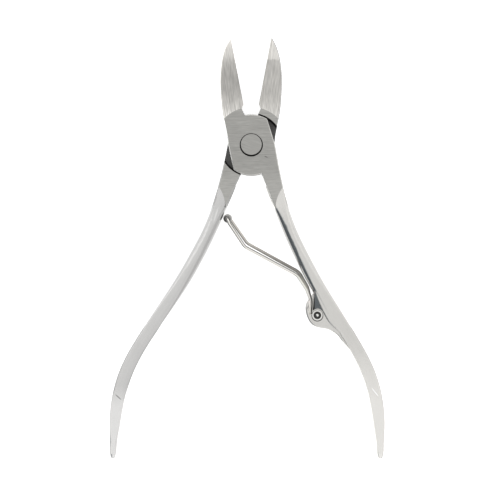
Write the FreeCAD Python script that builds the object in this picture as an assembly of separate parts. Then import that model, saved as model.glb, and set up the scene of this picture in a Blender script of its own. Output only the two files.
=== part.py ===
import FreeCAD, Part
import os
from math import atan2, cos, pi, radians, sin, sqrt, tan

# Nail nipper of the 13 cm class, lying flat and sprung open. Millimetres.
# +X is to the right, +Y towards the jaw tips, +Z out of the front face.
# The origin is where the pivot's axis meets the back face.
# rear_half  : right jaw, rear lap of the joint, left handle
# front_half : left jaw, front lap of the joint, right handle, spring lug
# Both halves are drawn as "right jaw and left handle"; the front one is then mirrored.

# ---- the joint -------------------------------------------------------------------------
THICKNESS = 7.0            # both laps together
MID = THICKNESS / 2        # the plane that the two laps share
LAP_GAP = 0.01             # each lap stands this far off that plane
LAP_RADIUS = 9.0           # round ends of a lap
SHOULDER_RADIUS = 9.40     # hollow in the other half that a lap turns in
LAP_ROOT = (1.90, 8.80)    # where the jaw leaves the lap, inner side
LAP_CORNER = (-4.71, 7.67)
HANDLE_WAIST = (-6.95, 0.20)
JAW_WAIST = (6.85, 0.60)
LAP_FOOT = (5.21, -7.34)
HANDLE_ROOT = (-3.05, -8.47)
CORNER_ROUND = 1.2         # rounding of the lap's two free corners
EDGE_ROUND = 0.30          # rounding of a forging's outer edges
CLEAR = 1.0                # a cutting shape stands this far out of what it cuts
NEAR = 0.45                # an edge this close to a named point is the one meant

# ---- the rivet -------------------------------------------------------------------------
SHANK_RADIUS = 2.2
SHANK_PLAY = 0.04          # radial, in the half that turns on it
TIGHT = 0.01               # radial, where a pin is fixed
HEAD_RADIUS = 3.15
HEAD_POCKET_RADIUS = 3.42
HEAD_DEPTH = 1.2
HEAD_OFFSET = 0.08         # the head is peened a little off centre, towards the jaws
TAIL_RADIUS = 3.1
TAIL_DEPTH = 0.9

# ---- the jaws --------------------------------------------------------------------------
JAW_ANGLE = 10.45          # cutting edge from +Y, right jaw
LEFT_JAW_TURN = 0.35       # the left jaw stands this much further out
EDGE_GAP = 0.015           # half the gap left between the closed edges
HEEL_RADIUS = 12.2         # inner end of the cutting edge, from the pivot
TIP_RADIUS = 32.2          # the right jaw's tip, from the pivot
LEFT_JAW_SHORT = 0.4       # the left jaw is ground this much shorter
TIP_WIDTH = 0.45
NOTCH = (2.80, 10.75)
JAW_BACK = [(7.50, 5.07), (8.36, 9.25), (8.90, 14.5), (9.06, 19.0), (8.76, 23.4), (7.95, 27.5)]
FACET_RADIUS = 11.1        # the ground facets start on this circle
TIP_THICKNESS = 2.4
FACET_SLOPE = (THICKNESS - TIP_THICKNESS) / 2 / (TIP_RADIUS - FACET_RADIUS)
EDGE_LAND = 0.35           # square land behind the cutting edge
HEEL_RELIEF = 1.3          # the inner face leans back by this much at the heel
TIP_RELIEF = 0.30
# points on the outline where its rim is rounded over
RIM = [(9.06, 19.0), (7.50, 5.07), (6.05, -3.30), (-7.60, -3.2), (-5.90, 3.70), (-5.00, -13.4)]

# ---- the handles -----------------------------------------------------------------------
# centre line, width, depth and inner bevel of the left handle, from the joint to the end
HANDLE = [
    (-6.90, -11.2, 5.05, 6.80, 0.12),
    (-8.10, -14.7, 4.70, 6.70, 0.20),
    (-9.77, -19.1, 4.22, 6.45, 0.60),
    (-12.21, -25.0, 3.98, 6.15, 0.82),
    (-15.20, -31.0, 4.10, 5.95, 0.80),
    (-20.23, -39.9, 4.23, 5.75, 0.64),
    (-26.02, -48.7, 4.12, 5.60, 0.26),
    (-31.92, -57.6, 3.93, 5.40, 0.18),
    (-36.68, -66.4, 4.03, 5.10, 0.16),
    (-39.30, -75.2, 3.85, 4.50, 0.15),
    (-40.25, -82.5, 3.20, 3.50, 0.13),
    (-40.66, -88.5, 2.20, 2.35, 0.11),
    (-40.76, -91.5, 1.65, 1.70, 0.09),
    (-40.76, -92.3, 1.00, 0.95, 0.07),
]
CROWN = 0.045              # a handle's broad faces rise by this share of its width
BULGE = 0.09               # its narrow faces stand out by this much
BULGE_SHARE = 0.55         # and by this share of the inner bevel
BEVEL_SLOPE = 0.85         # height of the inner bevel over its width
BOW_END = 9                # the station where the bow ends and the straight tip begins
OUTER_ROUND = 0.19         # rounding of the outer corners, where there is no inner bevel
OUTER_SHARE = 0.55         # and how fast it grows with the bevel
CORNER_LIMIT = 0.42        # largest bevel or rounding, as a share of half the width
TIP_FACET = (-39.3, -74.0, 5.62)     # a flat facet falls from here to the handle's end
TIP_FACET_FALL = 4.6       # degrees
TIP_FACET_SKEW = 35.0      # degrees between its upper edge and X
TIP_FACET_SIZE = 30.0      # longer than what is left of the handle
RIGHT_HANDLE_TURN = 1.72   # the right handle stands this much further in
RIGHT_HANDLE_SHORT = 1.1   # and is ground this much shorter at its end
FLAT_SIDE = [(-7.60, -3.2), (-8.36, -6.7)]
FLAT_END = [(-9.72, -12.0), (-8.35, -14.6), (-7.52, -18.4)]     # arc where the flat meets the handle

# ---- the spring and its lug ------------------------------------------------------------
PIN = (19.45, -50.2)       # axis of the spring's pin, through the lug
PIN_RADIUS = 1.30
PIN_HEAD_RADIUS = 1.62
PIN_HEAD_DEPTH = 0.30
PIN_SEAT_RADIUS = 1.74
PIN_HEAD_OFFSET = 0.07     # the head sits a little off its seat's centre, towards the joint
PIN_HOLLOW_RADIUS = 1.10
PIN_HOLLOW_DEPTH = 0.70
PIN_DOME_RADIUS = 0.60
LUG_THICKNESS = 4.4
LUG_EDGE = [(16.30, -46.4), (15.98, -48.4), (16.38, -50.4), (17.45, -52.4),
            (19.30, -53.6), (21.70, -54.0), (23.90, -54.9), (26.30, -57.3)]
LUG_TOP = (18.35, -43.5)
LUG_ROUND = 0.40
LUG_INSIDE = [(28.9, -60.0), (22.4, -49.5)]
# the handle's face runs out over the lug as far as this line, and has a bevel along it
CREASE = [(18.50, -42.5), (19.25, -45.2), (20.20, -47.4), (21.30, -49.65), (23.42, -52.89),
          (25.87, -55.11), (27.64, -57.17)]
CREASE_INSIDE = [(29.6, -57.6), (22.2, -46.5)]
CREASE_DEPTH = 5.2
CREASE_BEVEL = 0.38
RAMP = [(18.60, -43.6), (20.98, -48.95), (18.05, -48.95)]     # a ground facet above the pin
RAMP_SLOPE = 22.0          # degrees
BOSS_RADIUS = 1.95         # left standing round the pin
SLOT_HEIGHT = 2.3          # the lug is forked, and the spring's eyes sit in the fork
SLOT_RADIUS = 2.70
MOUTH_SIDE = 1.00          # from the pin's axis to the right wall of the fork's mouth
MOUTH_REACH = 7.0          # the mouth is open towards the joint
SLIT_WIDTH = 1.25          # slit in the front cheek over the wire
SLIT_ENDS = [(18.0, -43.0), (17.25, -49.3)]
WIRE = 1.00                # diameter
BORE_PLAY = 0.05           # radial, in the roller's bore
EYE_RADIUS = 2.05          # the eyes hang loose on the pin
EYE_TURN = 230.0
EYE_SPACING = 1.10         # between the two eyes, along Z
LEG_BENDS = [(17.55, -45.9), (16.40, -42.2), (13.75, -37.85), (-1.60, -29.45), (-6.25, -22.60)]
LEG_ROUNDS = [2.5, 5.0, 4.5, 3.0, 0.8]
LEG_HEIGHTS = [0.55, 0.70, 0.85, 1.40, 1.80]     # of each bend above the middle plane
LEG_SHARES = [0.0, 0.7, 1.15, 1.4, 1.1]          # how far the legs are spread at each bend
LEG_SPREAD = (0.265, 0.385)          # half the distance between the legs, seen from the front
ROLLER = (-6.95, -21.60)
ROLLER_RADIUS = 1.30
ROLLER_LENGTH = 2.4
ROLLER_ROUND = 0.25
AXLE_RISE = 1.80           # height of the legs above the middle plane at the roller
AXLE_ROUND = 0.58


def vec(point, z=0.0):
    return FreeCAD.Vector(point[0], point[1], z)


def turned(point, degrees):
    """The point turned about the pivot's axis."""
    c = cos(radians(degrees))
    s = sin(radians(degrees))
    return (point[0] * c - point[1] * s, point[0] * s + point[1] * c)


def line(a, b):
    return Part.makeLine(vec(a), vec(b))


def curve(points):
    spline = Part.BSplineCurve()
    spline.interpolate([vec(p) for p in points])
    return spline.toShape()


def arc(a, middle, b):
    return Part.Arc(vec(a), vec(middle), vec(b)).toShape()


def plate(edges, bottom, top):
    """A flat solid with the outline that the edges make."""
    face = Part.Face(Part.Wire(Part.__sortEdges__(edges)))
    face.translate(FreeCAD.Vector(0, 0, bottom))
    return face.extrude(FreeCAD.Vector(0, 0, top - bottom))


def cylinder(centre, radius, bottom, top):
    return Part.makeCylinder(radius, top - bottom, vec(centre, bottom))


def ring(profile, degrees):
    """A profile of (radius, z) points, revolved about the pivot's axis from +X."""
    points = [FreeCAD.Vector(r, 0, z) for r, z in profile]
    face = Part.Face(Part.makePolygon(points + points[:1]))
    return face.revolve(FreeCAD.Vector(0, 0, 0), FreeCAD.Vector(0, 0, 1), degrees)


def on_lap(point_a, point_b, side):
    """The arc of a lap's round end between two points, over the top or under the bottom."""
    start = atan2(point_a[1], point_a[0])
    end = atan2(point_b[1], point_b[0])
    middle = (start + end) / 2
    a = (LAP_RADIUS * cos(start), LAP_RADIUS * sin(start))
    b = (LAP_RADIUS * cos(end), LAP_RADIUS * sin(end))
    m = (LAP_RADIUS * cos(middle), side * abs(LAP_RADIUS * sin(middle)))
    return a, arc(a, m, b), b


def edge_point(radius, jaw_turn):
    """A point of the right jaw's cutting edge, at that distance from the pivot."""
    return turned((EDGE_GAP, radius), -JAW_ANGLE - jaw_turn)


def half_outline(jaw_turn, jaw_short, handle_turn):
    """Right jaw, lap and the flat root of the left handle, as one closed outline."""
    out = -jaw_turn
    tip_radius = TIP_RADIUS - jaw_short
    tip = edge_point(tip_radius, jaw_turn)
    tip_out = turned((TIP_WIDTH, tip_radius - TIP_WIDTH / 2), -JAW_ANGLE - jaw_turn)
    heel = edge_point(HEEL_RADIUS, jaw_turn)
    notch = turned(NOTCH, out)
    back = [turned(p, out * min(1.0, p[1] / HEEL_RADIUS)) for p in JAW_BACK]
    root, top_arc, corner = on_lap(LAP_ROOT, LAP_CORNER, 1)
    handle_root, bottom_arc, foot = on_lap(HANDLE_ROOT, LAP_FOOT, -1)
    side = [HANDLE_WAIST] + [turned(p, handle_turn * p[1] / FLAT_END[0][1]) for p in FLAT_SIDE]
    outer_end, middle, inner_end = (turned(p, handle_turn) for p in FLAT_END)
    return [
        line(tip, heel),
        line(heel, notch),
        line(notch, root),
        top_arc,
        line(corner, HANDLE_WAIST),
        curve(side + [outer_end]),
        arc(outer_end, middle, inner_end),
        line(inner_end, handle_root),
        bottom_arc,
        line(foot, JAW_WAIST),
        curve([JAW_WAIST] + back + [tip_out]),
        line(tip_out, tip),
    ]


def facets():
    """What is ground off the front and the back of a jaw: two shallow cones."""
    reach = TIP_RADIUS + TIP_THICKNESS
    low = THICKNESS - FACET_SLOPE * (reach - FACET_RADIUS)
    over = THICKNESS + CLEAR
    front = [(FACET_RADIUS, THICKNESS), (reach, low), (reach, over), (FACET_RADIUS, over)]
    back = [(r, THICKNESS - z) for r, z in front]
    return [ring(front, 180), ring(back, 180)]


def relief(jaw_turn):
    """The wedge ground off behind the cutting edge, so that only its front land meets the other."""
    sections = []
    for radius, lean in ((HEEL_RADIUS - CLEAR, HEEL_RELIEF), (TIP_RADIUS + CLEAR, TIP_RELIEF)):
        top = THICKNESS - FACET_SLOPE * (radius - FACET_RADIUS) - EDGE_LAND
        corners = [(EDGE_GAP, top), (EDGE_GAP + lean, -CLEAR), (-CLEAR, -CLEAR), (-CLEAR, top)]
        points = [vec(turned((x, radius), -JAW_ANGLE - jaw_turn), z) for x, z in corners]
        sections.append(Part.makePolygon(points + points[:1]))
    return Part.makeLoft(sections, True, True)


def handle_section(place, across, width, depth, bevel):
    """One closed section of a handle; `across` points to its inner side."""
    half = width / 2
    rise = depth / 2
    limit = CORNER_LIMIT * half
    corner = min(OUTER_ROUND + OUTER_SHARE * bevel, limit)
    bulge = min(BULGE + BULGE_SHARE * bevel, limit)
    outer = -half + bulge + corner
    inner = half - bulge - bevel
    shoulder = rise - CROWN * width
    outer_top = shoulder - corner
    inner_top = shoulder - BEVEL_SLOPE * bevel
    to_middle = corner * (1 - sin(pi / 4))
    round_u = -half + bulge + to_middle
    round_v = shoulder - to_middle

    def at(u, v):
        return FreeCAD.Vector(place[0] + across[0] * u, place[1] + across[1] * u, MID + v)

    edges = [
        Part.Arc(at(outer, shoulder), at((outer + inner) / 2, rise), at(inner, shoulder)),
        Part.LineSegment(at(inner, shoulder), at(half - bulge, inner_top)),
        Part.Arc(at(half - bulge, inner_top), at(half, 0), at(half - bulge, -inner_top)),
        Part.LineSegment(at(half - bulge, -inner_top), at(inner, -shoulder)),
        Part.Arc(at(inner, -shoulder), at((outer + inner) / 2, -rise), at(outer, -shoulder)),
        Part.Arc(at(outer, -shoulder), at(round_u, -round_v), at(-half + bulge, -outer_top)),
        Part.Arc(at(-half + bulge, -outer_top), at(-half, 0), at(-half + bulge, outer_top)),
        Part.Arc(at(-half + bulge, outer_top), at(round_u, round_v), at(outer, shoulder)),
    ]
    return Part.Wire([e.toShape() for e in edges])


def handle(turn, shortened):
    """The left handle, lofted along its bowed centre line and turned about the pivot."""
    end = HANDLE[-1][1]
    bow = HANDLE[BOW_END][1]
    places = []
    for row in HANDLE:
        share = max(0.0, (row[1] - bow) / (end - bow))
        places.append(turned((row[0], row[1] + shortened * share), turn))
    centre_line = curve(places)
    sections = []
    for place, row in zip(places, HANDLE):
        along = centre_line.tangentAt(centre_line.Curve.parameter(vec(place)))
        across = (-along.y, along.x)
        sections.append(handle_section(place, across, row[2], row[3], row[4]))
    return Part.makeLoft(sections, True, False)


def is_lap_corner(edge):
    """True for the two upright edges at the free corners of the lap."""
    box = edge.BoundBox
    upright = box.ZLength > MID and max(box.XLength, box.YLength) < NEAR
    distances = [box.Center.distanceToPoint(vec(p, box.Center.z)) for p in (LAP_CORNER, LAP_FOOT)]
    return upright and min(distances) < NEAR


def is_rim(edge):
    """True for the edges of the front and back outlines that are rounded over."""
    box = edge.BoundBox
    level = box.Center.z
    near = [edge.distToShape(Part.Vertex(x, y, level))[1][0][0] for x, y in RIM]
    gaps = [sqrt((q.x - x) ** 2 + (q.y - y) ** 2) for q, (x, y) in zip(near, RIM)]
    return box.ZLength < MID and min(gaps) < NEAR


def tip_facet(turn):
    """What is ground off the front of a handle towards its end: everything above a falling plane."""
    size = TIP_FACET_SIZE
    block = Part.makeBox(size, size, size, FreeCAD.Vector(-size / 2, -size, 0))
    block.rotate(FreeCAD.Vector(0, 0, 0), FreeCAD.Vector(1, 0, 0), TIP_FACET_FALL)
    block.rotate(FreeCAD.Vector(0, 0, 0), FreeCAD.Vector(0, 0, 1), -TIP_FACET_SKEW)
    block.translate(FreeCAD.Vector(*TIP_FACET))
    block.rotate(FreeCAD.Vector(0, 0, 0), FreeCAD.Vector(0, 0, 1), turn)
    return block


def half(jaw_turn, jaw_short, handle_turn, handle_short):
    """A whole forging before the joint is cut: the flat plate, the ground jaw and the handle."""
    body = plate(half_outline(jaw_turn, jaw_short, handle_turn), 0, THICKNESS)
    body = body.makeFillet(CORNER_ROUND, [e for e in body.Edges if is_lap_corner(e)])
    body = body.cut(facets() + [relief(jaw_turn)])
    body = body.makeFillet(EDGE_ROUND, [e for e in body.Edges if is_rim(e)])
    return body.fuse(handle(handle_turn, handle_short).cut(tip_facet(handle_turn)))


def mirrored(shape):
    return shape.mirror(FreeCAD.Vector(0, 0, 0), FreeCAD.Vector(1, 0, 0))


def rear_half():
    body = half(0.0, 0.0, 0.0, 0.0)
    body = body.cut(cylinder((0, 0), SHOULDER_RADIUS, MID - LAP_GAP, THICKNESS + CLEAR))
    body = body.cut(cylinder((0, 0), SHANK_RADIUS + TIGHT, -CLEAR, MID))
    countersink = Part.makeCone(TAIL_RADIUS + TIGHT, SHANK_RADIUS + TIGHT, TAIL_DEPTH)
    return body.cut(countersink)


def is_flat_from(edge, point):
    """True for a level edge that starts or ends at a point of the outline."""
    ends = [v.Point for v in edge.Vertexes]
    return edge.BoundBox.ZLength < NEAR and any(e.distanceToPoint(vec(point, e.z)) < NEAR for e in ends)


def lug():
    """The forked tab on the inner side of the right handle, with the slit in its front cheek."""
    bottom = MID - LUG_THICKNESS / 2
    top = MID + LUG_THICKNESS / 2
    first = LUG_EDGE[0]
    last = LUG_EDGE[-1]
    edges = [line(LUG_TOP, first), curve(LUG_EDGE), line(last, LUG_INSIDE[0])]
    edges += [line(LUG_INSIDE[0], LUG_INSIDE[1]), line(LUG_INSIDE[1], LUG_TOP)]
    tab = plate(edges, bottom, top)
    return tab.makeFillet(LUG_ROUND, [e for e in tab.Edges if is_flat_from(e, first)])


def crease_plate():
    """What the handle's face gains where it runs out over the lug."""
    bottom = MID - CREASE_DEPTH / 2
    top = MID + CREASE_DEPTH / 2
    corners = [CREASE[-1]] + CREASE_INSIDE + [CREASE[0]]
    edges = [curve(CREASE)] + [line(a, b) for a, b in zip(corners, corners[1:])]
    made = plate(edges, bottom, top)
    rims = [e for e in made.Edges if is_flat_from(e, CREASE[0]) and is_flat_from(e, CREASE[-1])]
    return made.makeChamfer(CREASE_BEVEL, rims)


def ramp():
    """What is ground off in front above the pin: it falls from the crease towards the slit."""
    top, right, left = (vec(p) for p in RAMP)
    along = (right - top).normalize()
    fall = tan(radians(RAMP_SLOPE)) * (left - top).cross(along).Length
    height = MID + LUG_THICKNESS / 2
    corners = [vec(RAMP[0], height), vec(RAMP[1], height), vec(RAMP[2], height - fall)]
    face = Part.Face(Part.makePolygon(corners + corners[:1]))
    ground = face.extrude(FreeCAD.Vector(0, 0, THICKNESS))
    return ground.cut(cylinder(PIN, BOSS_RADIUS, 0, 2 * THICKNESS))


def lug_slot():
    """Round slot for the spring's two eyes."""
    return cylinder(PIN, SLOT_RADIUS, MID - SLOT_HEIGHT / 2, MID + SLOT_HEIGHT / 2)


def lug_mouth():
    """The slot's opening to the left and towards the joint."""
    right = PIN[0] - MOUTH_SIDE
    width = right - LUG_EDGE[1][0] + CLEAR
    corner = vec((right - width, PIN[1]), MID - SLOT_HEIGHT / 2)
    return Part.makeBox(width, MOUTH_REACH, SLOT_HEIGHT, corner)


def lug_slit():
    """The narrow slit in the front cheek, along the wire."""
    upper = vec(SLIT_ENDS[0])
    lower = vec(SLIT_ENDS[1])
    along = (lower - upper).normalize()
    side = FreeCAD.Vector(-along.y, along.x, 0) * (SLIT_WIDTH / 2)
    round_end = Part.Arc(lower + side, lower + along * (SLIT_WIDTH / 2), lower - side)
    edges = [
        Part.makeLine(upper - side, upper + side),
        Part.makeLine(upper + side, lower + side),
        round_end.toShape(),
        Part.makeLine(lower - side, upper - side),
    ]
    return plate(edges, MID, THICKNESS)


def front_half():
    body = mirrored(half(LEFT_JAW_TURN, LEFT_JAW_SHORT, RIGHT_HANDLE_TURN, RIGHT_HANDLE_SHORT))
    tab = lug().fuse(crease_plate()).cut([ramp(), lug_mouth(), lug_slit()])
    body = body.fuse(tab).cut(lug_slot())
    body = body.cut(cylinder(PIN, PIN_RADIUS + TIGHT, 0, THICKNESS))
    head_bottom = MID + LUG_THICKNESS / 2 - PIN_HEAD_DEPTH
    body = body.cut(cylinder(PIN, PIN_SEAT_RADIUS, head_bottom, THICKNESS))
    body = body.cut(cylinder((0, 0), SHOULDER_RADIUS, -CLEAR, MID + LAP_GAP))
    body = body.cut(cylinder((0, 0), SHANK_RADIUS + SHANK_PLAY, MID, THICKNESS + CLEAR))
    pocket = cylinder((0, 0), HEAD_POCKET_RADIUS, THICKNESS - HEAD_DEPTH, THICKNESS + CLEAR)
    return body.cut(pocket)


def pivot_rivet():
    """Shank through both laps, its tail peened into the back and its head flush at the front."""
    tail = Part.makeCone(TAIL_RADIUS, SHANK_RADIUS, TAIL_DEPTH)
    seat = THICKNESS - HEAD_DEPTH + LAP_GAP
    shank = cylinder((0, 0), SHANK_RADIUS, 0, seat)
    head = cylinder((0, HEAD_OFFSET), HEAD_RADIUS, seat, THICKNESS)
    return tail.fuse([shank, head])


def spring_pin():
    """A pin with a shallow head, its end hollowed round a small dome."""
    bottom = MID - LUG_THICKNESS / 2
    top = MID + LUG_THICKNESS / 2
    middle = (PIN[0], PIN[1] + PIN_HEAD_OFFSET)
    body = cylinder(PIN, PIN_RADIUS, bottom, top - PIN_HEAD_DEPTH)
    body = body.fuse(cylinder(middle, PIN_HEAD_RADIUS, top - PIN_HEAD_DEPTH, top))
    body = body.cut(cylinder(middle, PIN_HOLLOW_RADIUS, top - PIN_HOLLOW_DEPTH, top + CLEAR))
    post = cylinder(middle, PIN_DOME_RADIUS, top - PIN_HOLLOW_DEPTH, top - PIN_DOME_RADIUS)
    dome = Part.makeSphere(PIN_DOME_RADIUS, vec(middle, top - PIN_DOME_RADIUS))
    return body.fuse([post, dome])


def rounded(points, radii):
    """Edges of a path through the points, each inner corner rounded by a tangent arc."""
    edges = []
    start = points[0]
    for i, radius in enumerate(radii):
        corner = points[i + 1]
        back = (points[i] - corner).normalize()
        ahead = (points[i + 2] - corner).normalize()
        half_angle = back.getAngle(ahead) / 2
        cut = radius / tan(half_angle)
        first = corner + back * cut
        last = corner + ahead * cut
        inward = (back + ahead).normalize()
        middle = corner + inward * (radius / sin(half_angle) - radius)
        edges.append(Part.makeLine(start, first))
        edges.append(Part.Arc(first, middle, last).toShape())
        start = last
    edges.append(Part.makeLine(start, points[-1]))
    return edges


def eye_tangent():
    """The angle at which a leg touches its eye: the left-hand tangent from the first bend."""
    dx = LEG_BENDS[0][0] - PIN[0]
    dy = LEG_BENDS[0][1] - PIN[1]
    tangent_length = sqrt(dx * dx + dy * dy - EYE_RADIUS ** 2)
    return atan2(dy, dx) + atan2(tangent_length, EYE_RADIUS)


def leg(side):
    """One leg from its eye to the middle of the roller's axle; side is +1 in front, -1 behind."""
    eye_z = MID + side * EYE_SPACING / 2
    start = eye_tangent()
    sweep = radians(EYE_TURN)

    def eye(angle):
        return FreeCAD.Vector(PIN[0] + EYE_RADIUS * cos(angle), PIN[1] + EYE_RADIUS * sin(angle), eye_z)

    turn = Part.Arc(eye(start + sweep), eye(start + sweep / 2), eye(start)).toShape()
    points = [eye(start)]
    for bend, height, share in zip(LEG_BENDS, LEG_HEIGHTS, LEG_SHARES):
        x = bend[0] - side * share * LEG_SPREAD[0]
        y = bend[1] - side * share * LEG_SPREAD[1]
        points.append(FreeCAD.Vector(x, y, MID + side * height))
    points.append(vec(ROLLER, MID + side * AXLE_RISE))
    points.append(vec(ROLLER, MID))
    return [turn] + rounded(points, LEG_ROUNDS + [AXLE_ROUND])


def spring_wire():
    """One wire: eye, leg, the roller's axle, the other leg and its eye."""
    path = Part.Wire(leg(1) + list(reversed(leg(-1))))
    begin = path.OrderedVertexes[0].Point
    first = path.OrderedEdges[0]
    along = first.tangentAt(first.FirstParameter)
    profile = Part.Wire(Part.makeCircle(WIRE / 2, begin, along))
    return path.makePipeShell([profile], True, False)


def spring_roller():
    bottom = MID - ROLLER_LENGTH / 2
    top = MID + ROLLER_LENGTH / 2
    body = cylinder(ROLLER, ROLLER_RADIUS, bottom, top)
    body = body.makeFillet(ROLLER_ROUND, [e for e in body.Edges if e.isClosed()])
    return body.cut(cylinder(ROLLER, WIRE / 2 + BORE_PLAY, bottom - CLEAR, top + CLEAR))


os.makedirs("parts", exist_ok=True)
for make in (rear_half, front_half, pivot_rivet, spring_wire, spring_pin, spring_roller):
    solid = make()
    solid.exportStep("parts/" + make.__name__ + ".step")
    print(make.__name__, round(solid.Volume, 2), solid.isValid(), len(solid.Solids))
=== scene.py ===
from math import atan2, cos, pi, radians, sin, sqrt, tan

import bpy
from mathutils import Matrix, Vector


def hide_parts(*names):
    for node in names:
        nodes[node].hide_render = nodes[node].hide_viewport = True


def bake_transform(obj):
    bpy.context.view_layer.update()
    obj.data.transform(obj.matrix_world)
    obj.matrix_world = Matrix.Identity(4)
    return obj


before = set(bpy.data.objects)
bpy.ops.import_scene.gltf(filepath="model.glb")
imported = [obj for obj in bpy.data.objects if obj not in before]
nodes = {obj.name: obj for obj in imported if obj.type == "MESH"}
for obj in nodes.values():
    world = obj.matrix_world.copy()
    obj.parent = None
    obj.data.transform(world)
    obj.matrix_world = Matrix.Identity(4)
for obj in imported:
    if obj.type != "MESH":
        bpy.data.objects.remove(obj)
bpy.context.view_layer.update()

MM = 0.001
MIDDLE = 3.5                 # height of the plane between the two laps, in millimetres
MID = MIDDLE * MM            # and in metres
PIN = (19.45, -50.2)         # axis of the spring's pin, in millimetres as in the CAD
ROLLER = (-6.95, -21.60)     # and of its roller
WHITE = (1.0, 1.0, 1.0, 1.0)


# ---- small helpers for node trees --------------------------------------------------------
class Tree:
    """A node tree with short ways to add a node, do sums and look values up."""

    def __init__(self, tree):
        self.tree = tree
        tree.nodes.clear()

    def node(self, kind, inputs=None, **settings):
        made = self.tree.nodes.new(kind)
        for name, value in settings.items():
            setattr(made, name, value)
        for name, value in (inputs or {}).items():
            self.set(made.inputs[name], value)
        return made

    def set(self, socket, value):
        if isinstance(value, bpy.types.NodeSocket):
            self.tree.links.new(value, socket)
        elif hasattr(value, "__len__"):
            socket.default_value = value[:len(socket.default_value)]
        else:
            socket.default_value = value

    def math(self, operation, a, b=0.0, c=0.0):
        return self.node("ShaderNodeMath", {0: a, 1: b, 2: c}, operation=operation).outputs[0]

    def times(self, a, b):
        return self.math("MULTIPLY", a, b)

    def plus(self, base, value, amount):
        """The base plus an amount of the value."""
        return self.math("MULTIPLY_ADD", value, amount, base)

    def vary(self, base, noise, amount):
        """The base made uneven by an amount of a noise that lies round 0.5."""
        return self.plus(base, self.math("SUBTRACT", noise, 0.5), amount)

    def less(self, mask, amount):
        """1 where the mask is 0, and an amount less where it is 1."""
        return self.math("SUBTRACT", 1.0, self.times(mask, amount))

    def between(self, value, low, high):
        """0 below low, 1 above high, smooth between; low may be above high."""
        made = self.node("ShaderNodeMapRange", {"Value": value, "From Min": low, "From Max": high},
                         interpolation_type="SMOOTHSTEP")
        return made.outputs["Result"]

    def split(self, vector):
        """The x, y and z of a vector."""
        return self.node("ShaderNodeSeparateXYZ", {0: vector}).outputs

    def millimetres(self):
        """The object's own coordinates, in millimetres as in the CAD."""
        place = self.node("ShaderNodeTexCoord").outputs["Object"]
        return self.node("ShaderNodeVectorMath", {0: place, "Scale": 1000.0},
                         operation="SCALE").outputs[0]

    def normal(self):
        """The x, y and z of the surface's normal."""
        return self.split(self.node("ShaderNodeNewGeometry").outputs["Normal"])

    def scaled(self, vector, scale, turn=0.0):
        """The vector turned about Z by `turn` degrees and then scaled along each axis."""
        turned = self.node("ShaderNodeVectorRotate", {"Vector": vector, "Angle": radians(turn)},
                           rotation_type="Z_AXIS")
        made = self.node("ShaderNodeVectorMath", {0: turned.outputs[0], 1: scale},
                         operation="MULTIPLY")
        return made.outputs[0]

    def noise(self, vector, scale, detail, rough):
        made = self.node("ShaderNodeTexNoise", {"Vector": vector, "Scale": scale,
                                                "Detail": detail, "Roughness": rough})
        return made.outputs["Fac"]

    def grain(self, vector, scale, turn, detail, rough):
        """A noise that is drawn out along turned axes."""
        return self.noise(self.scaled(vector, scale, turn), 1.0, detail, rough)

    def distance(self, mm, centre, radii=(1.0, 1.0), turn=0.0):
        """Distance in the XY plane from a centre, in radii along turned axes."""
        shifted = self.node("ShaderNodeVectorMath", {0: mm, 1: (*centre, 0.0)},
                            operation="SUBTRACT").outputs[0]
        flat = self.scaled(shifted, (1 / radii[0], 1 / radii[1], 0.0), turn)
        return self.node("ShaderNodeVectorMath", {0: flat}, operation="LENGTH").outputs["Value"]

    def spot(self, mm, place, core):
        """0 outside an ellipse and 1 inside its core; the place is a centre, radii and a turn."""
        return self.between(self.distance(mm, *place), 1.0, core)

    def ramp(self, value, stops, smooth=True):
        """A grey looked up from (place, grey) stops."""
        made = self.node("ShaderNodeValToRGB", {"Fac": value})
        ramp = made.color_ramp
        ramp.interpolation = "EASE" if smooth else "LINEAR"
        while len(ramp.elements) < len(stops):
            ramp.elements.new(0.5)
        for element, (place, grey) in zip(ramp.elements, stops):
            element.position = place
            element.color = (grey, grey, grey, 1.0)
        return made.outputs["Color"]

    def mix(self, factor, a, b):
        """Two colours mixed."""
        made = self.node("ShaderNodeMix", data_type="RGBA")
        self.set(made.inputs[0], factor)
        self.set(made.inputs[6], a)
        self.set(made.inputs[7], b)
        return made.outputs[2]

    def mix_value(self, factor, a, b):
        """Two numbers mixed."""
        made = self.node("ShaderNodeMix", data_type="FLOAT")
        self.set(made.inputs[0], factor)
        self.set(made.inputs[2], a)
        self.set(made.inputs[3], b)
        return made.outputs[0]

    def tint(self, colour, grey):
        """A colour made darker or lighter by a number."""
        made = self.node("ShaderNodeVectorMath", {0: colour, "Scale": grey}, operation="SCALE")
        return made.outputs[0]


def material(name):
    made = bpy.data.materials.new(name)
    made.use_nodes = True
    return made, Tree(made.node_tree)


def metal(t, colour, roughness, relief, micrometres):
    """The metal's shader, with a bump of so many micrometres for each 1 of the relief."""
    height = t.times(relief, micrometres * 1e-6)
    bump = t.node("ShaderNodeBump", {"Strength": 1.0, "Distance": 1.0, "Height": height})
    shader = t.node("ShaderNodeBsdfPrincipled", {
        "Base Color": colour, "Metallic": 1.0, "Roughness": roughness, "Normal": bump.outputs[0]})
    output = t.node("ShaderNodeOutputMaterial")
    t.set(output.inputs["Surface"], shader.outputs[0])


# ---- steel of the two halves -------------------------------------------------------------
# a table with True and False has the half with the right jaw, then the one with the left jaw
STEEL_POLISHED = {True: (0.70, 0.695, 0.685, 1.0), False: (0.72, 0.708, 0.68, 1.0)}
STEEL_GROUND = (0.70, 0.683, 0.648, 1.0)
STEEL_JOINT = (0.62, 0.613, 0.582, 1.0)
# painted shade: the near-black of the hollows, of the lap faces between the halves and of the
# rivet's sides
SHADE_BLACK = 0.02

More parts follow.
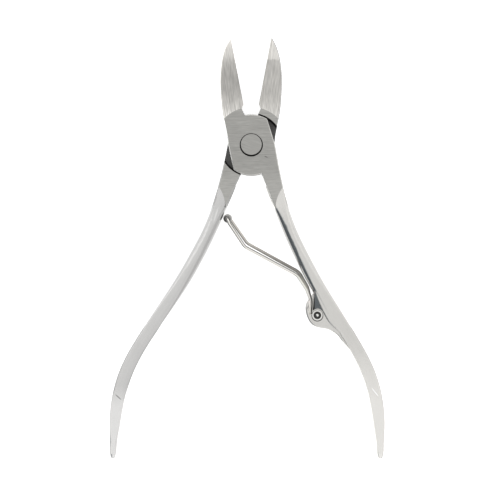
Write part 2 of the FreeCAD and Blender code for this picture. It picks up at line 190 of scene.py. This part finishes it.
# borders, as (where the mask is 0, where it is 1): first those in the normal's upward part
LEVEL = (0.90, 0.985)
ROUGHLY_LEVEL = (0.5, 0.9)
STEEP = (0.82, 0.62)
UPRIGHT = (0.3, 0.1)
SLIT_WALLS = (0.5, 0.3)
SATIN_SLOPE = (0.95, 0.85)
# from the middle plane, in millimetres
FLAT_DEPTH = (3.482, 3.494)
LAP_DEPTH = (0.3, 0.1)
SHOULDER_DEPTH = (3.45, 3.2)
# from the pivot's axis or the pin's, and in height
JAW_START = (11.06, 11.16)
SHOULDER_OUTER = (9.80, 9.46)
SHOULDER_INNER = (8.9, 9.1)
LAP_EDGE = (8.7, 9.0)
POCKET_RADIUS = (3.60, 3.46)
POCKET_TOP = (6.985, 6.95)
SEAT_RADIUS = (1.80, 1.76)
SEAT_TOP = (5.69, 5.66)
# along y
ABOVE_PIVOT = (0.0, 0.5)
BELOW_PIVOT = (-6.0, -14.0)
LIGHTER_ROOT = (-24.0, -15.0)
ROOT_TOP = (-19.6, -18.4)
BELOW_LUG = (-53.0, -55.0)
SATIN_ROOT = (-19.5, -16.5)
SATIN_BELOW_LUG = (-52.5, -55.0)
LIGHTER_END = {True: (-70.0, -78.0), False: (-55.0, -78.0)}
LIGHTER_EDGE = {True: (-70.0, -74.0), False: (-53.0, -56.0)}

# marks, as a centre, radii and a turn in degrees
SLIT = ((17.6, -46.5), (0.90, 3.7), 6.8)
NICK = ((4.35, -3.50), (0.7, 0.2), 24.0)
# a painted highlight where a dent on the left handle catches the light
DENT_HIGHLIGHT = ((-10.4, -20.6), (0.45, 3.2), 16.3)
# painted shade along the left edge of the spring's slit
SLIT_EDGE_SHADE = ((16.75, -47.6), (1.0, 0.16), -67.6)
# painted edges where the handles' end facets begin: painted shade on the left handle, a painted
# highlight on the right
FACET_EDGE_SHADE_AND_HIGHLIGHT = {True: ((-39.15, -74.2), (1.5, 0.26), 42.0),
              False: ((36.4, -72.7), (1.9, 0.26), 51.0)}

FLAT_TONE = {True: 0.67, False: 0.645}
# tones of a jaw from its heel to its tip, which are a painted reflection, how far they waver, and
# how deep its streaks are
JAW_LENGTH = (8.0, 31.5)
JAW_REFLECTION_TONES = {
    True: [(0.0, 1.05), (0.12, 0.93), (0.30, 0.76), (0.60, 0.74),
           (0.72, 0.78), (0.745, 1.06), (1.0, 1.12)],
    False: [(0.0, 1.20), (0.14, 0.92), (0.34, 0.64), (0.50, 0.60),
            (0.68, 0.70), (0.80, 0.95), (1.0, 1.22)],
}
JAW_WAVER = {True: 0.07, False: 0.16}
STREAK_DEPTH = {True: 1.5, False: 1.4}
HEEL = (0.25, 0.05)
HEEL_STREAK_DEPTH = 2.1
# painted shade: tones of a handle from its outer side, over its face, to its inner side
SIDE_SHADE_TONES = {
    True: [(0.0, 0.82), (0.30, 0.86), (0.42, 0.97), (0.50, 0.98),
           (0.58, 0.90), (0.70, 0.72), (1.0, 0.58)],
    False: [(0.0, 0.84), (0.30, 0.88), (0.42, 0.96), (0.50, 1.0),
            (0.58, 0.99), (0.72, 0.84), (1.0, 0.74)],
}


class Surface:
    """What a half's material asks about a point: where it lies and how its normal points."""

    def __init__(self, t):
        self.mm = t.millimetres()
        x, self.y, self.z = t.split(self.mm)
        self.normal = t.normal()
        self.up = t.math("ABSOLUTE", self.normal[2])
        self.radius = t.math("SQRT", t.math("ADD", t.times(x, x), t.times(self.y, self.y)))
        self.depth = t.math("ABSOLUTE", t.math("SUBTRACT", self.z, MIDDLE))


def hollow_shade(t, at, right_jaw):
    """Where painted shade makes it black: the rivet's pocket, the pin's seat, the spring's slit,
    the shoulders.
    """
    pocket = t.times(t.between(at.radius, *POCKET_RADIUS), t.between(at.z, *POCKET_TOP))
    shoulder = t.times(
        t.times(t.between(at.radius, *SHOULDER_OUTER), t.between(at.radius, *SHOULDER_INNER)),
        t.times(t.between(at.depth, *SHOULDER_DEPTH), t.between(at.up, *UPRIGHT)))
    seat = t.times(t.between(t.distance(at.mm, PIN), *SEAT_RADIUS), t.between(at.z, *SEAT_TOP))
    if not right_jaw:
        slit = t.times(t.spot(at.mm, SLIT, 0.95), t.between(at.up, *SLIT_WALLS))
        seat = t.math("MAXIMUM", seat, slit)
    return t.math("MAXIMUM", t.math("MAXIMUM", pocket, seat), shoulder)


def brushed_flats(t, at, right_jaw):
    """Tone and lines of the flats: long fine lines across the joint, and a few coarser ones."""
    long_lines = t.grain(at.mm, (0.15, 3.6, 0.3), -1.5, 2.0, 0.6)
    short_lines = t.grain(at.mm, (0.60, 6.0, 0.5), 1.5, 1.0, 0.5)
    lines = t.math("ADD", t.times(long_lines, 0.6), t.times(short_lines, 0.4))
    patch = t.grain(at.mm, (0.05, 0.12, 0.1), 0.0, 1.0, 0.5)
    tone = t.vary(FLAT_TONE[right_jaw], lines, 0.60)
    tone = t.plus(tone, t.between(at.y, *BELOW_PIVOT), 0.09)
    tone = t.vary(tone, patch, 0.10)
    if not right_jaw:
        tone = t.times(tone, t.less(t.spot(at.mm, NICK, 0.5), 0.5))
    return tone, lines


def ground_jaw(t, at, right_jaw, side):
    """Tone and streaks of the jaw: its tone from heel to tip is a painted reflection, and its
    streaks run along the blade and are deepest at its heel.
    """
    long_streaks = t.grain(at.mm, (3.4, 0.12, 0.3), 8.0 * side, 2.0, 0.6)
    short_streaks = t.grain(at.mm, (6.0, 0.40, 0.3), 3.0 * side, 1.0, 0.5)
    streaks = t.math("ADD", t.times(long_streaks, 0.55), t.times(short_streaks, 0.45))
    share = t.node("ShaderNodeMapRange", {
        "Value": at.y, "From Min": JAW_LENGTH[0], "From Max": JAW_LENGTH[1]}).outputs["Result"]
    waver = t.grain(at.mm, (1.2, 0.35, 0.3), 8.0 * side, 2.0, 0.6)
    # painted reflection: the jaw is painted light at its heel, dark in its middle and light at its
    # tip
    tone = t.ramp(t.vary(share, waver, JAW_WAVER[right_jaw]), JAW_REFLECTION_TONES[right_jaw], smooth=False)
    depth = t.mix_value(t.between(share, *HEEL), STREAK_DEPTH[right_jaw], HEEL_STREAK_DEPTH)
    return t.times(tone, t.vary(1.0, streaks, depth)), streaks


def polished_handle(t, at, right_jaw, side):
    """Tone of the handle with its painted shade and painted highlights, and its faint cloudiness
    and the hairline scratches along it.
    """
    cloud = t.noise(at.mm, 0.22, 3.0, 0.5)
    hair = t.grain(at.mm, (5.0, 0.5, 2.0), -28.0 * side, 2.0, 0.5)
    tone = t.vary(0.97, cloud, 0.08)
    tone = t.vary(tone, hair, 0.03)
    tone = t.plus(tone, t.between(at.y, *LIGHTER_END[right_jaw]), 0.25)
    if right_jaw:
        # painted highlight where a dent on the left handle catches the light
        tone = t.plus(tone, t.spot(at.mm, DENT_HIGHLIGHT, 0.3), 0.16)
    else:
        tone = t.plus(tone, t.between(at.y, *LIGHTER_ROOT), 0.12)

    # painted shade: the outer side is painted lighter than the inner side, both darker than the
    # face, and steep walls darker still except steep walls facing along the handle in its lower
    # part
    across = t.times(at.normal[0], side)
    sides = t.ramp(t.plus(0.5, across, 0.5), SIDE_SHADE_TONES[right_jaw], smooth=False)
    lighter = t.times(t.between(at.y, *LIGHTER_EDGE[right_jaw]), t.between(across, -0.2, 0.2))
    edge = t.mix_value(lighter, 0.62, 1.0)
    tone = t.times(tone, t.mix_value(t.between(at.up, *STEEP), sides, edge))

    # a painted edge where the facet near the end begins: painted shade on the left, a painted
    # highlight on the right
    line = t.spot(at.mm, FACET_EDGE_SHADE_AND_HIGHLIGHT[right_jaw], 0.5)
    tone = t.times(tone, t.less(line, 0.45) if right_jaw else t.plus(1.0, line, 0.30))
    if not right_jaw:
        # painted light: near its root and below the lug the right handle's inner bevel is painted
        # lighter
        root_light = t.times(t.between(at.y, *ROOT_TOP), t.between(across, 0.2, 0.5))
        tone = t.mix_value(root_light, tone, 1.3)
        below_lug_light = t.times(t.between(at.y, *BELOW_LUG), t.between(across, 0.1, 0.4))
        tone = t.mix_value(below_lug_light, tone, 1.25)
        # painted shade along the left edge of the spring's slit
        tone = t.times(tone, t.less(t.spot(at.mm, SLIT_EDGE_SHADE, 0.5), 0.6))
    return tone, cloud, hair


def forging(name, right_jaw):
    """Steel of one half: brushed flats, ground jaw and polished handle, with painted shade in its
    hollows and between the laps.
    """
    made, t = material(name)
    at = Surface(t)
    side = 1 if right_jaw else -1
    level = t.between(at.up, *LEVEL)
    in_jaw = t.times(t.between(at.radius, *JAW_START), t.between(at.y, *ABOVE_PIVOT))
    jaw = t.times(in_jaw, level)
    flat = t.times(t.between(at.depth, *FLAT_DEPTH), t.math("SUBTRACT", level, jaw))
    flat = t.math("MAXIMUM", flat, 0.0)
    lap = t.times(t.between(at.depth, *LAP_DEPTH), t.between(at.up, *ROUGHLY_LEVEL))
    # painted shade: black in the hollows
    black = hollow_shade(t, at, right_jaw)
    brushed, lines = brushed_flats(t, at, right_jaw)
    ground, streaks = ground_jaw(t, at, right_jaw, side)
    polished, cloud, hair = polished_handle(t, at, right_jaw, side)

    grey = t.mix_value(flat, t.mix_value(jaw, polished, ground), brushed)
    # painted shade: the lap faces between the halves are nearly black with faint brushed lines,
    # and black beyond the lap's edge
    lap_shade = t.mix_value(t.between(at.radius, *LAP_EDGE), t.plus(0.05, lines, 0.2), SHADE_BLACK)
    grey = t.mix_value(lap, grey, lap_shade)
    grey = t.mix_value(black, grey, SHADE_BLACK)
    colour = t.mix(flat, t.mix(jaw, STEEL_POLISHED[right_jaw], STEEL_GROUND), STEEL_JOINT)

    rough = t.mix_value(jaw, t.plus(0.13, cloud, 0.10), t.plus(0.28, streaks, 0.2))
    rough = t.mix_value(flat, rough, t.plus(0.32, lines, 0.2))
    rough = t.mix_value(t.math("MAXIMUM", lap, black), rough, 0.5)
    satin = t.math("MAXIMUM", t.between(at.y, *SATIN_ROOT), t.between(at.y, *SATIN_BELOW_LUG))
    rough = t.mix_value(t.times(satin, t.between(at.up, *SATIN_SLOPE)), rough, 0.65)

    relief = t.mix_value(jaw, t.times(hair, 0.3), t.times(streaks, 5.0))
    relief = t.mix_value(flat, relief, t.times(lines, 3.0))
    metal(t, t.tint(colour, grey), rough, relief, 1)
    return made


# ---- the small pieces' steel -------------------------------------------------------------
# middles, and borders as distances from them
RIVET_MIDDLE = (0.0, 0.17)
RIVET_EDGE = (3.12, 3.02)
PIN_MIDDLE = (PIN[0], PIN[1] + 0.07)
PIN_DOME = (0.56, 0.66)
PIN_HOLLOW = (1.15, 1.11)
PIN_RIM = (1.60, 1.50)
# painted shade round an offset middle, and a painted highlight beyond the rim
ROLLER_SHADE_MIDDLE = (ROLLER[0] - 0.25, ROLLER[1] - 0.25)
ROLLER_HIGHLIGHT_RIM = (0.85, 1.25)
STEEL_PIN = (0.80, 0.79, 0.76, 1.0)
STEEL_ROLLER = (0.74, 0.73, 0.70, 1.0)
# painted shade: the rear leg's steel is a darker copy of the front leg's
SHADED_STEEL_WIRE_REAR = (0.74, 0.71, 0.66, 1.0)
LIT_STEEL_WIRE_FRONT = (0.88, 0.86, 0.81, 1.0)
# painted reflection: tones of the wire from its sides to its top
FRONT_REFLECTION_TONES = [(0.0, 0.74), (0.30, 0.86), (0.45, 0.98), (0.60, 1.0),
               (0.72, 0.48), (0.82, 0.96), (1.0, 1.0)]
REAR_REFLECTION_TONES = [(0.0, 0.55), (0.30, 0.66), (0.45, 0.95), (0.60, 1.0),
              (0.72, 0.55), (0.82, 0.95), (1.0, 1.05)]
FRONT_LEG = (3.0, 3.6)       # height where the front leg begins
# painted shade on the rear leg deepens along x between these
REAR_LEG_SHADE = (-5.0, 12.0)   # along x
NEAR_LUG = (12.5, 14.5)
# painted shade on the front leg's upper right side
UPPER_RIGHT_SHADE = (0.42, 0.58)     # in the normal's part towards the upper right


def rivet_steel():
    """The rivet: its head is brushed a little askew, and its sides and a thin rim round its head
    are black, painted shade.
    """
    made, t = material("rivet_steel_brushed")
    mm = t.millimetres()
    face = t.times(t.between(t.math("ABSOLUTE", t.normal()[2]), 0.6, 0.9),
                   t.between(t.distance(mm, RIVET_MIDDLE), *RIVET_EDGE))
    lines = t.grain(mm, (0.22, 3.6, 0.3), 20.0, 4.0, 0.7)
    # painted shade: black beyond the head's face
    grey = t.mix_value(face, SHADE_BLACK, t.vary(0.66, lines, 0.42))
    metal(t, t.tint(STEEL_JOINT, grey), t.plus(0.32, lines, 0.2), lines, 3)
    return made


def drawn_wire():
    """Polished wire: lighter and darker lines of painted reflection run along it, the rear leg is
    painted darker as painted shade, and near the lug the front leg is painted evenly bright.
    """
    made, t = material("spring_wire_steel")
    mm = t.millimetres()
    x, _, z = t.split(mm)
    normal = t.normal()
    drawn = t.grain(mm, (0.6, 3.0, 3.0), 28.0, 3.0, 0.6)
    up = t.vary(t.math("ABSOLUTE", normal[2]), drawn, 0.12)
    upper_right = t.plus(t.times(normal[1], 0.76), normal[0], 0.65)
    near_lug = t.between(x, *NEAR_LUG)
    front = t.between(z, *FRONT_LEG)
    # painted reflection in bands across the wire, and painted shade on the front leg's upper right
    # side
    bright = t.ramp(up, FRONT_REFLECTION_TONES)
    bright = t.mix_value(t.between(upper_right, *UPPER_RIGHT_SHADE), bright, 0.05)
    # painted shade: the rear leg is darker, most towards the lower bend
    dull = t.tint(t.ramp(up, REAR_REFLECTION_TONES), t.mix_value(t.between(x, *REAR_LEG_SHADE), 0.85, 0.42))
    # painted light: near the lug the front leg is painted evenly bright
    grey = t.mix_value(front, dull, t.mix_value(near_lug, bright, 1.12))
    colour = t.tint(t.mix(front, SHADED_STEEL_WIRE_REAR, LIT_STEEL_WIRE_FRONT), grey)
    metal(t, colour, t.plus(t.mix_value(near_lug, 0.10, 0.35), drawn, 0.10), drawn, 1)
    return made


def pin_steel():
    """The turned pin: its dome and rim are bright, and the hollow between them and all outside the
    rim are black, painted shade.
    """
    made, t = material("pin_steel_bright")
    radius = t.distance(t.millimetres(), PIN_MIDDLE)
    rings = t.noise(t.node("ShaderNodeCombineXYZ", {0: radius}).outputs[0], 6.0, 2.0, 0.5)
    # painted shade in the hollow between the dome and the rim, and outside the rim
    hollow = t.times(t.between(radius, *PIN_DOME), t.between(radius, *PIN_HOLLOW))
    grey = t.times(t.vary(1.0, rings, 0.3), t.between(radius, *PIN_RIM))
    metal(t, t.tint(STEEL_PIN, t.mix_value(hollow, grey, 0.06)), 0.16, rings, 2)
    return made


def roller_steel():
    """The roller: painted dark on its ends as painted shade, with a rim painted bright as a
    painted highlight on the side away from the handle.
    """
    made, t = material("roller_steel")
    mm = t.millimetres()
    worn = t.noise(mm, 1.3, 3.0, 0.6)
    # painted shade on the ends, and a painted highlight on the rim away from the handle
    grey = t.mix_value(t.between(t.distance(mm, ROLLER_SHADE_MIDDLE), *ROLLER_HIGHLIGHT_RIM), 0.12, 0.62)
    grey = t.times(grey, t.vary(1.0, worn, 0.5))
    metal(t, t.tint(STEEL_ROLLER, grey), t.plus(0.22, worn, 0.2), worn, 3)
    return made


def dress(node, made):
    for slot in nodes[node].material_slots:
        slot.material = made


dress("rear_half", forging("rear_half_steel", True))
dress("front_half", forging("front_half_steel", False))
dress("pivot_rivet", rivet_steel())
dress("spring_pin", pin_steel())
dress("spring_roller", roller_steel())


# ---- the spring --------------------------------------------------------------------------
# the wire goes round the pin, along both legs and through the roller; lengths in millimetres
WIRE = 1.00                  # its thickness
EYE_RADIUS = 2.05            # of its centre line round the pin
EYE_TURN = 230.0             # degrees of each eye
EYE_STEPS = 28
EYE_SPACING = 1.10           # between the middles of the two eyes
# a leg's corners from the eye to the axle, and how far each lies from the middle plane
LEG_BENDS = [(17.55, -45.9), (16.40, -42.2), (13.75, -37.85), (-1.60, -29.45), (-6.25, -22.60)]
LEG_HEIGHTS = [0.55, 0.70, 0.85, 1.40, 1.80]
# how far each leg is set off sideways, as shares of a spread
LEG_SHARES = [0.0, 0.7, 1.15, 1.4, 1.1]
LEG_SPREAD = (0.265, 0.385)
# radii at the corners, with the one from the leg into the axle last
LEG_ROUNDS = [2.5, 5.0, 4.5, 3.0, 0.8, 0.58]
AXLE_RISE = 1.80
STEP = 0.35                  # spacing of the rings of the tube
BEND_DENSITY = 1.5           # how much closer they are in a bend
TUBE_SIDES = 20
END_CAPS = [(0.0, 0.62), (0.10, 0.92)]  # rings at an end: how far in, and how thick, in radii


def stretch(a, b):
    """Points from a towards b, about a step apart, without b."""
    count = max(1, round((b - a).length / STEP))
    return [a.lerp(b, i / count) for i in range(count)]


def bend(before, corner, after, radius):
    """Points of the tangent arc that rounds a corner."""
    back = (before - corner).normalized()
    ahead = (after - corner).normalized()
    half = back.angle(ahead) / 2
    centre = corner + (back + ahead).normalized() * (radius / sin(half))
    first = (corner + back * (radius / tan(half)) - centre).normalized()
    last = (corner + ahead * (radius / tan(half)) - centre).normalized()
    count = max(4, round(radius * (pi - 2 * half) / STEP * BEND_DENSITY))
    return [centre + first.slerp(last, i / count) * radius for i in range(count + 1)]


def leg(side):
    """Centre line of one leg, from the far end of its eye to the middle of the roller."""
    eye_z = MIDDLE + side * EYE_SPACING / 2
    dx = LEG_BENDS[0][0] - PIN[0]
    dy = LEG_BENDS[0][1] - PIN[1]
    start = atan2(dy, dx) + atan2(sqrt(dx * dx + dy * dy - EYE_RADIUS ** 2), EYE_RADIUS)

    def on_eye(angle):
        return Vector((PIN[0] + EYE_RADIUS * cos(angle), PIN[1] + EYE_RADIUS * sin(angle), eye_z))

    points = [on_eye(start + radians(EYE_TURN) * (1 - i / EYE_STEPS)) for i in range(EYE_STEPS)]
    corners = [on_eye(start)]
    for (x, y), height, share in zip(LEG_BENDS, LEG_HEIGHTS, LEG_SHARES):
        x -= side * share * LEG_SPREAD[0]
        y -= side * share * LEG_SPREAD[1]
        corners.append(Vector((x, y, MIDDLE + side * height)))
    corners.append(Vector((*ROLLER, MIDDLE + side * AXLE_RISE)))
    corners.append(Vector((*ROLLER, MIDDLE)))
    here = corners[0]
    for i, radius in enumerate(LEG_ROUNDS):
        arc = bend(corners[i], corners[i + 1], corners[i + 2], radius)
        points += stretch(here, arc[0]) + arc[:-1]
        here = arc[-1]
    return points + stretch(here, corners[-1])


def tube_rings(points, radius):
    """Rings along the points, with rounded ends: middle, direction, one side and thickness."""
    tangents = []
    for i in range(len(points)):
        ahead = points[min(i + 1, len(points) - 1)]
        behind = points[max(i - 1, 0)]
        tangents.append((ahead - behind).normalized())
    across = tangents[0].orthogonal().normalized()
    rings = []
    for point, tangent in zip(points, tangents):
        across = (across - tangent * across.dot(tangent)).normalized()
        rings.append((point, tangent, across.copy(), 1.0))
    first, first_way, first_across, _ = rings[0]
    last, last_way, last_across, _ = rings[-1]
    start = [(first + first_way * (radius * depth), first_way, first_across, share)
             for depth, share in END_CAPS]
    end = [(last - last_way * (radius * depth), last_way, last_across, share)
           for depth, share in reversed(END_CAPS)]
    return start + rings[1:-1] + end


def tube(name, points, radius):
    """A round wire along the points."""
    verts, faces = [], []
    for point, tangent, across, share in tube_rings(points, radius):
        other = tangent.cross(across)
        for k in range(TUBE_SIDES):
            angle = 2 * pi * k / TUBE_SIDES
            offset = across * cos(angle) + other * sin(angle)
            verts.append((point + offset * (radius * share)) * MM)
    count = len(verts) // TUBE_SIDES
    for i in range(count - 1):
        for k in range(TUBE_SIDES):
            a, b = i * TUBE_SIDES + k, i * TUBE_SIDES + (k + 1) % TUBE_SIDES
            faces.append((a, b, b + TUBE_SIDES, a + TUBE_SIDES))
    faces.append(tuple(reversed(range(TUBE_SIDES))))
    faces.append(tuple(range((count - 1) * TUBE_SIDES, count * TUBE_SIDES)))
    mesh = bpy.data.meshes.new(name)
    mesh.from_pydata(verts, [], faces)
    mesh.polygons.foreach_set("use_smooth", [True] * len(mesh.polygons))
    mesh.polygons[-1].use_smooth = False
    mesh.polygons[-2].use_smooth = False
    mesh.update()
    return linked(name, mesh)


def linked(name, data):
    """A new object in the scene."""
    made = bpy.data.objects.new(name, data)
    bpy.context.scene.collection.objects.link(made)
    return made


path = leg(1) + list(reversed(leg(-1)))
spring = tube("spring_wire_bright", path, WIRE / 2)
spring.data.materials.append(drawn_wire())
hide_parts("spring_wire")
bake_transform(spring)


# ---- floor, light and camera -------------------------------------------------------------
# lengths in metres, except where it says millimetres
FLOOR_SIZE = 3.0
FLOOR_TOP = -0.00002         # just below the tool's flat back
FLOOR_WHITE = (0.86, 0.86, 0.86, 1.0)
FLOOR_GLOW = 0.70
TENT_TONES = [(0.0, 0.50), (0.45, 0.50), (0.75, 0.50), (0.93, 0.46), (1.0, 0.44)]
TENT_STRENGTH = 2.0
# the dark flag that the right handle's bevel mirrors: where it stands, its edge as cosines,
# the height it ends at, how dark it is and its tint
FLAG_PLACE = (-0.86, -0.48, 0.55)
FLAG_EDGE = (0.82, 0.90)
FLAG_TOP = (0.90, 0.80)
FLAG_DARKNESS = 0.80
FLAG_TINT = (0.80, 0.90, 1.0, 1.0)
SOFTBOX_SIZE = 0.45
SOFTBOX_TARGET = (0, -0.03, 0)
# straight down, with the jaws upwards; the frame is as wide as 500 steps of 0.295 mm
FRAME_WIDTH = 500 * 0.295 * MM
FRAME_MIDDLE = (-0.38, -30.9)    # in millimetres
LENS = 250.0
SENSOR = 36.0


def white_floor():
    """A matt white floor that glows a little, so that it stays white round the tool."""
    half = FLOOR_SIZE / 2
    mesh = bpy.data.meshes.new("floor")
    mesh.from_pydata([(-half, -half, 0), (half, -half, 0), (half, half, 0), (-half, half, 0)],
                     [], [(0, 1, 2, 3)])
    made, t = material("floor_white")
    shader = t.node("ShaderNodeBsdfPrincipled", {
        "Base Color": FLOOR_WHITE, "Roughness": 0.9,
        "Emission Color": WHITE, "Emission Strength": FLOOR_GLOW})
    t.set(t.node("ShaderNodeOutputMaterial").inputs["Surface"], shader.outputs[0])
    mesh.materials.append(made)
    floor = linked("floor", mesh)
    floor.location.z = FLOOR_TOP
    return floor


def light_tent():
    """The world: an even tent, a little darker overhead, with one dark flag."""
    world = bpy.data.worlds.new("light_tent")
    bpy.context.scene.world = world
    world.use_nodes = True
    t = Tree(world.node_tree)
    way = t.node("ShaderNodeTexCoord").outputs["Generated"]
    height = t.split(way)[2]
    tent = t.ramp(height, TENT_TONES)
    toward_flag = t.node("ShaderNodeVectorMath", {0: way, 1: Vector(FLAG_PLACE).normalized()},
                         operation="DOT_PRODUCT").outputs["Value"]
    flag = t.times(t.between(toward_flag, *FLAG_EDGE), t.between(height, *FLAG_TOP))
    light = t.times(tent, t.less(flag, FLAG_DARKNESS))
    colour = t.tint(t.mix(flag, WHITE, FLAG_TINT), light)
    background = t.node("ShaderNodeBackground", {"Color": colour, "Strength": TENT_STRENGTH})
    t.set(t.node("ShaderNodeOutputWorld").inputs["Surface"], background.outputs[0])


def softbox(name, place, power):
    """A square lamp that looks at the middle of the tool."""
    lamp = bpy.data.lights.new(name, "AREA")
    lamp.shape = "SQUARE"
    lamp.size = SOFTBOX_SIZE
    lamp.energy = power
    box = linked(name, lamp)
    box.location = place
    aim = Vector(SOFTBOX_TARGET) - Vector(place)
    box.rotation_euler = aim.to_track_quat("-Z", "Y").to_euler()


def camera_above():
    """The camera, so high that the frame is FRAME_WIDTH wide at the middle plane."""
    camera = bpy.data.cameras.new("camera")
    camera.lens = LENS
    camera.sensor_width = SENSOR
    seen = linked("camera", camera)
    x, y = FRAME_MIDDLE
    seen.location = (x * MM, y * MM, MID + FRAME_WIDTH * LENS / SENSOR)
    bpy.context.scene.camera = seen


floor = white_floor()
light_tent()
softbox("softbox_left", (-0.55, 0.35, 0.60), 0.30)
softbox("softbox_right", (0.60, 0.10, 0.55), 0.15)
camera_above()
bpy.context.scene.view_settings.view_transform = "Standard"
